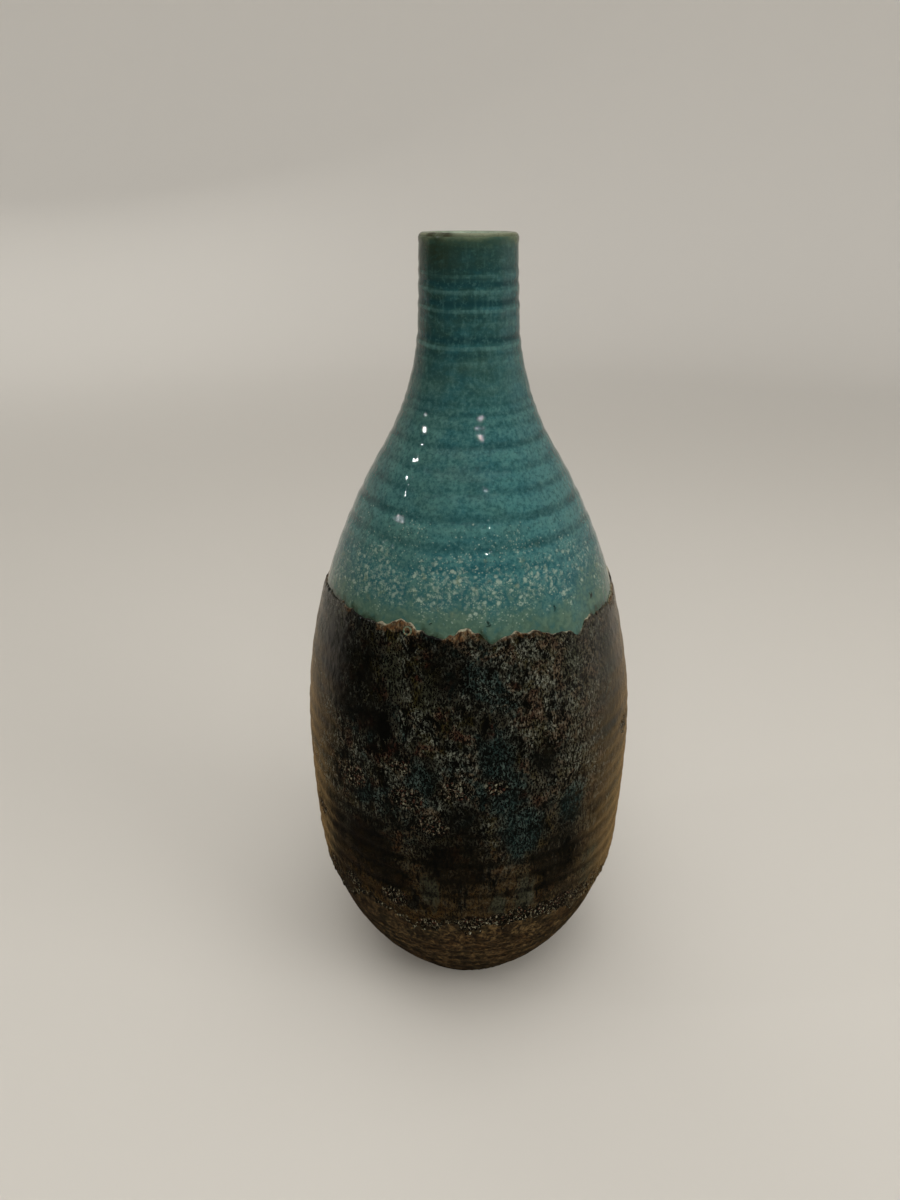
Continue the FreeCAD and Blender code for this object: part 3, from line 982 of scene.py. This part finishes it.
def crustMaterial():
    recipe = materialRecipe("crustGlaze", crustPaint)
    height = recipe.along("Z")
    side = recipe.side()
    aboveLine = recipe.stored("aboveLine")
    aboveEdge = recipe.stored("aboveEdge")
    field = recipe.noise(42, 3, 0.6, (1, 1, 1.3))
    patch = recipe.noise(7, 5, 0.7, (1, 1, 1.5), 0.6)
    hue = recipe.noise(14, 4, 0.7, (1, 1, 1.2), 0.5)
    tint = recipe.noise(9, 4, 0.7, (1, 1, 1.2), 0.5, recipe.scaled(-1, 1, 1.3))
    cluster = recipe.noise(5, 5, 0.72, (1, 1, 1.8), 0.5)
    crumbs = recipe.noise(1.3, 3, 0.7, (1, 1, 1.5), 0.8)
    groove = recipe.stored("groove")
    fine = recipe.noise(0.8, 3, 0.7, (1, 1, 1.7))
    low = 1 - height.between(62, 120)

    # thin films of colour over the black
    drawn = recipe.noise(2.0, 3, 0.6, (0.8, 0.8, 3.6), 0.3)
    gap = (recipe.stored("gap") + cluster.swing(1.8) + patch.swing(0.5)).between(0.18, 0.72)
    teal = (recipe.stored("teal") + cluster.swing(1.1)).between(0.3, 0.75)
    run = (recipe.stored("run") + drawn.swing(1.2) + patch.swing(0.6)).between(0.35, 0.85)
    grainy = (fine.between(0.34, 0.58) * 0.6 + 0.3) * (crumbs.between(0.36, 0.52) * 0.7 + 0.3)
    grainy = (grainy + low * 0.35).math("MINIMUM", 1.0)
    # painted light: the right side is laid lighter and hazier, as if lit from the right and mirroring
    # the room, with fewer flecks showing through it
    paintedRightHaze = (side + drawn.swing(0.6) + patch.swing(0.8)).between(0.15, 0.75) * (1 - low * 0.65)
    film = (patch + paintedRightHaze * 0.12 + low * (drawn.swing(0.5) + 0.08)).between(0.41, 0.61)
    film = (film * (1 - gap * 0.75)).atLeast(teal * 0.42)
    film = film.atLeast(run * (drawn.between(0.35, 0.65) * 0.6 + 0.4)) * grainy
    wash = Layers(recipe, "film")
    wash.lay("olive", hue.between(0.5, 0.58))
    wash.lay("maroon", tint.between(0.53, 0.6))
    wash.lay("teal", hue.between(0.46, 0.38))
    wash.lay("brown", low * 0.85)
    wash.lay("paintedRightHaze", paintedRightHaze * 0.6)
    wash.lay("teal", teal)
    wash.lay("run", run * 0.9)
    colour = Layers(recipe, "black")
    colour.lay(wash, film * 0.85)

    # lace: burst bubbles and threads of pale crystals, in clusters, drawn into streaks on the right
    lace = recipe.noise(4.4, 4, 0.62, (0.8, 0.8, 1.8), 1.2)
    threads = 1 - (lace - 0.5).math("ABSOLUTE").between(0.006, 0.028)
    foam = recipe.cells(0.95, recipe.pushed(1.0, 1.1), feature="DISTANCE_TO_EDGE")
    net = 1 - foam.between(0.02, 0.12)
    fringe = 1 - (patch - 0.47).math("ABSOLUTE").between(0.006, 0.03)
    streaks = drawn.between(0.53, 0.64) * side.between(-0.4, 0.7)
    crowd = field.between(0.36, 0.56) * (0 - aboveLine).between(0, 5)
    where = (cluster + (crowd - 0.7) * 0.16 - groove * 0.1).between(0.38, 0.66) * (1 - gap * 0.8)
    curd = (net * 0.4).atLeast(fine.between(0.5, 0.63) * 0.85)
    flecks = (curd * where).atLeast(streaks * (crowd * 0.3 + 0.3))
    flecks = (flecks * (height.between(72, 132) * 0.8 + 0.2)).atLeast(curd * teal * 0.3)
    flecks = flecks * (crumbs + fringe * 0.08).between(0.45, 0.59) * (1 - paintedRightHaze * 0.5)
    grey = Layers(recipe, "fleck")
    grey.lay("paleFleck", crumbs.between(0.5, 0.66))
    grey.lay("tealFleck", teal.atLeast(hue.between(0.47, 0.4)) * 0.8)
    warm = (tint.between(0.5, 0.58) * 0.65 + low * 0.35) * (1 - teal)
    grey.lay("warmFleck", warm * fine.between(0.2, 0.5))
    wisps = threads.atLeast(fringe) * (cluster + (crowd - 0.7) * 0.1).between(0.38, 0.6)
    wisps = wisps * (1 - gap * 0.9) * (fine.between(0.4, 0.56) * 0.7 + 0.2)
    wisps = wisps * (height.between(62, 120) * 0.8 + 0.2)
    flecks = flecks.atLeast(wisps * (0.85 - paintedRightHaze * 0.35))
    colour.lay(grey, flecks * 0.95)
    colour.lay("fleck", where * crumbs.between(0.5, 0.64) * (1 - low * 0.6) * 0.15)
    colour.lay("black", fine.between(0.54, 0.42) * (0.85 - low * 0.45))
    carved = (groove + cluster.swing(0.3)).between(0.04, 0.24)
    colour.lay("black", carved * (0.35 + low * 0.3))

    # blistered places: brown bubbles in black, with painted glints in cream on them
    bubble = recipe.cells(1.7, recipe.pushed(0.7, 1.2))
    blistered = (recipe.stored("blister") + patch.swing(0.8)).between(0.35, 0.6)
    colour.lay("black", blistered * 0.8)
    colour.lay("blister", blistered * (1 - bubble.between(0.12, 0.42)) * 0.8)
    glints = blistered * (1 - bubble.between(0.05, 0.2)) * fine.between(0.5, 0.62)
    colour.lay("cream", glints * 0.8)

    # the top rim: rusty scabs with a cream edge against the turquoise
    teeth = recipe.noise(3.2, 4, 0.62)
    depth = recipe.stored("scabDepth")
    scab = (aboveLine + depth + teeth.swing(9)).between(-0.4, 1.6) * depth.between(0.5, 2.0)
    rusty = Layers(recipe, "rust")
    rusty.lay("tan", crumbs.between(0.44, 0.6))
    colour.lay(rusty, scab * (fine.between(0.4, 0.6) * 0.65 + 0.12))
    creamy = (aboveLine + 0.35 + teeth.swing(2.4)).between(0, 0.45) * recipe.stored("cream")
    colour.lay("cream", creamy * (crumbs.between(0.36, 0.54) * 0.6 + 0.3))

    # the lower rim boiled black; over it and the blistered places, tan rings round the burst bubbles and
    # cream dots, partly pale crystal and partly painted glints
    rim = 1 - (aboveEdge + teeth.swing(7)).between(0.5, 4.0)
    colour.lay("black", rim * crumbs.between(0.36, 0.52) * 0.85)
    boiled = rim.atLeast(blistered * 0.6)
    colour.lay("tan", net * boiled * crumbs.between(0.5, 0.62) * 0.6)
    colour.lay("cream", boiled * fine.between(0.54, 0.63) * crumbs.between(0.45, 0.55))

    roughness = 0.16 + flecks * 0.24 + scab * 0.3
    relief = flecks * 0.08 + fine * 0.05 + patch * 0.25 + scab * 0.2 - blistered * bubble * 0.5
    return recipe.finish(colour, roughness, relief, 0.3)


craterPaint = {
    "tan": crustPaint["tan"],
    "milky": turquoisePaint["milky"],
    "rust": crustPaint["rust"],
}


def craterMaterial():
    recipe = materialRecipe("healedRing", craterPaint)
    grain = recipe.noise(1.0, 3, 0.6)
    colour = Layers(recipe, "tan")
    colour.lay("milky", grain.between(0.4, 0.56))
    colour.lay("rust", grain.between(0.42, 0.3) * 0.7)
    return recipe.finish(colour, 0.15 + grain * 0.2, grain * 0.05, 0.5)


slipPaint = {
    "body": (74, 53, 26),
    "dark": (24, 16, 7),
    "pale": (106, 84, 50),
    "olive": (54, 45, 25),
}


def slipMaterial():
    recipe = materialRecipe("brownSlip", slipPaint)
    groove = recipe.stored("groove")
    cloud = recipe.noise(14, 3, 0.6)
    grain = recipe.noise(6.5, 4, 0.7)
    crumbs = recipe.noise(3.0, 4, 0.7, (1, 1, 1.3))
    speckle = recipe.noise(1.2, 3, 0.65)
    colour = Layers(recipe, "body")
    colour.lay("olive", cloud.between(0.35, 0.65))
    colour.lay("pale", crumbs.between(0.48, 0.58) * 0.75)
    colour.lay("dark", grain.between(0.49, 0.57) * 0.6)
    colour.lay("dark", speckle.between(0.53, 0.43) * 0.85)
    colour.lay("dark", groove.between(0.04, 0.2) * 0.4)
    colour.lay("pale", (0 - groove).between(0.01, 0.1) * 0.25)
    roughness = 0.55 + grain * 0.25
    relief = grain * 0.2 + crumbs * 0.1 + speckle * 0.06
    return recipe.finish(colour, roughness, relief, 0.25)


clayPaint = {
    "body": (158, 130, 98),
    "warm": (140, 104, 72),
    "speck": (60, 44, 32),
    "footShade": slipPaint["dark"],
}
# The radii, in mm, between which painted shade, in the dark slip's colour, darkens the foot's resting
# face at its outer edge.
footShadeReach = (32.2, 33.6)


def clayMaterial():
    recipe = materialRecipe("bareClay", clayPaint)
    cloud = recipe.noise(12, 3, 0.6)
    grit = recipe.noise(0.5, 3, 0.7)
    colour = Layers(recipe, "body")
    colour.lay("warm", cloud.between(0.35, 0.65))
    specks = 1 - recipe.cells(2.4, recipe.pushed(0.6, 0.6)).between(0.1, 0.2)
    colour.lay("speck", specks * 0.7)
    # painted shade: the outer edge of the foot's resting face is laid dark, where the table's shadow
    # falls
    colour.lay("footShade", (recipe.outward() + grit.swing(2)).between(*footShadeReach) * 0.95)
    return recipe.finish(colour, 0.8 + grit * 0.1, grit * 0.12, 0.25, 1.5)


linerPaint = {
    "body": (150, 166, 146),
    "pool": (96, 128, 116),
    "worn": (128, 130, 106),
    "band": (82, 90, 70),
    "stain": (44, 44, 26),
}
# Where the liner changes: radii of the lip's roll, heights of its worn top, and the stain on the left.
linerBands = {
    "roll": (15.6, 16.8),
    "top": (299.0, 299.9),
    "stain": (-38, 298.6, 8.0),
}


def linerMaterial():
    recipe = materialRecipe("celadonLiner", linerPaint)
    height = recipe.along("Z")
    cloud = recipe.noise(6, 3, 0.6)
    crackle = recipe.cells(5, recipe.pushed(1.5, 3), feature="DISTANCE_TO_EDGE")
    colour = Layers(recipe, "body")
    colour.lay("pool", cloud.between(0.35, 0.7))
    colour.lay("band", recipe.outward().between(*linerBands["roll"]))
    colour.lay("worn", (height + cloud.swing(2)).between(*linerBands["top"]) * 0.6)
    colour.lay("stain", (1 - crackle.between(0.0, 0.03)) * 0.35)
    colour.lay("stain", recipe.near(*linerBands["stain"]) * cloud.between(0.3, 0.5) * 0.9)
    return recipe.finish(colour, 0.16 + cloud * 0.08, cloud * 0.12, 0.45)


def dress(piece, material):
    piece.data.materials.clear()
    piece.data.materials.append(material)


def vaseParts():
    crust = crustMaterial()
    parts = (
        (makeTurquoise(), turquoiseMaterial()),
        (makeCrust(), crust),
        (makeBeads(), crust),
        (makeCraters(), craterMaterial()),
        (makeSlip(), slipMaterial()),
        (makeLiner(), linerMaterial()),
    )
    for piece, material in parts:
        dress(piece, material)
        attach(piece, "root")
        print("made", piece.name, "with", len(piece.data.polygons), "faces")
    dress(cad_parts["clay_body"], clayMaterial())


# The table and the room round it are one pale sweep, a shallow bowl wide enough for every view. Its own
# sizes are metres. The gloss shows a pale wall behind and a dim room in front, split by a leaning edge.
sweep = {
    "flat": 1.5,
    "bend": 1.0,
    "bendSteps": 12,
    "rise": 2.6,
    "columns": 96,
    "wallEdge": (-0.22, 0.26),
    "wallLean": 0.21,
    "tableReach": (120, 700),
    "wallReach": (700, 2200),
}
sweepPaint = {
    "tone": (206, 201, 192),
    "roomGloss": (50, 48, 44),
    "tableGloss": (172, 140, 94),
    "wallGloss": (200, 194, 184),
    "wallGlow": (106, 105, 103),
    "unlit": (0, 0, 0),
}


def sweepMaterial():
    # pale to the eye and brighter up the wall
    recipe = materialRecipe("paleSweep", sweepPaint)
    mirrored = recipe.node("ShaderNodeLightPath", output="Is Glossy Ray")
    seen = recipe.node("ShaderNodeLightPath", output="Is Camera Ray")
    out = recipe.outward()
    depth = recipe.along("Y") + recipe.along("X") * sweep["wallLean"]
    backdrop = Layers(recipe, "tableGloss")
    backdrop.lay("wallGloss", out.between(*sweep["tableReach"]))
    gloss = Layers(recipe, "roomGloss")
    gloss.lay(backdrop, (depth / (out + 1)).between(*sweep["wallEdge"]))
    colour = Layers(recipe, "tone")
    colour.lay(gloss, mirrored)
    shine = Layers(recipe, "unlit")
    shine.lay("wallGlow", seen * out.between(*sweep["wallReach"]))
    return recipe.shade({
        "Base Color": colour.colour,
        "Roughness": 0.9,
        "Specular IOR Level": 0.1,
        "Emission Color": shine.colour,
        "Emission Strength": 1.0,
    })


def makeSweep():
    flat, bend = sweep["flat"] / mm, sweep["bend"] / mm
    outline = [(0, 0), (flat, 0)]
    for step in range(1, sweep["bendSteps"] + 1):
        turn = math.pi / 2 * step / sweep["bendSteps"]
        outline.append((flat + bend * math.sin(turn), bend * (1 - math.cos(turn))))
    outline.append((flat + bend, sweep["rise"] / mm))
    floor = turned("sweep", outline, sweep["columns"])
    editAll()
    bpy.ops.mesh.normals_make_consistent(inside=True)
    stopEditing()
    dress(floor, sweepMaterial())
    print("made the sweep")


# Lamps: place and size in metres, watts, and whether the glaze mirrors them.
lamps = {
    "overhead": ((0.1, -0.3, 1.6), (1.4, 1.4), 15, False),
    "frontFill": ((0.0, -1.9, 1.1), (1.3, 1.0), 9.8, False),
    "rightFill": ((1.35, -0.8, 0.8), (0.9, 1.1), 8.5, False),
    "backFill": ((-0.9, 1.6, 1.1), (1.2, 1.2), 5, False),
    "leftSpark": ((-1.3, -0.23, 0.93), (0.014, 0.014), 0.65, True),
    "rightSpark": ((0.36, -1.0, 0.97), (0.009, 0.009), 0.32, True),
}
# The room's light as the camera sees it and as it falls on the vase, in the renderer's own numbers.
roomLight = {"seen": (0.62, 0.6, 0.57, 1.0), "cast": (0.3, 0.3, 0.3, 1.0)}


def makeLight():
    aim = Vector((0, 0, 0.15))
    for name, (place, size, watts, mirrored) in lamps.items():
        light = bpy.data.lights.new(name, "AREA")
        light.shape = "RECTANGLE"
        light.size, light.size_y = size
        light.energy = watts
        holder = bpy.data.objects.new(name, light)
        bpy.context.scene.collection.objects.link(holder)
        holder.location = place
        holder.rotation_euler = (aim - holder.location).to_track_quat("-Z", "Y").to_euler()
        holder.visible_glossy = mirrored
        holder.visible_camera = False
    world = bpy.data.worlds.new("room")
    bpy.context.scene.world = world
    recipe = Recipe(world)
    seen = recipe.node("ShaderNodeLightPath", output="Is Camera Ray")
    tone = recipe.mix(seen, roomLight["cast"], roomLight["seen"])
    background = recipe.node("ShaderNodeBackground", {}, {"Color": tone})
    recipe.node("ShaderNodeOutputWorld", {}, {"Surface": background})
    print("made the light")


# The photograph's lens: level with the lip, close to the vase and tilted down.
lens = {
    "focalLength": 27.03,
    "sensor": 36.0,
    "place": (0.0, -0.3323, 0.3073),
    "tilt": 23.5,
    "shift": -0.0155,
}


def makeCamera():
    eye = bpy.data.cameras.new("eye")
    eye.sensor_width = lens["sensor"]
    eye.lens = lens["focalLength"]
    eye.shift_x = lens["shift"]
    eye.clip_start = 0.01
    holder = bpy.data.objects.new("eye", eye)
    bpy.context.scene.collection.objects.link(holder)
    holder.location = lens["place"]
    holder.rotation_euler = (math.radians(90 - lens["tilt"]), 0, 0)
    bpy.context.scene.camera = holder


vaseParts()
makeSweep()
makeLight()
makeCamera()
bpy.context.scene.view_settings.view_transform = "Standard"
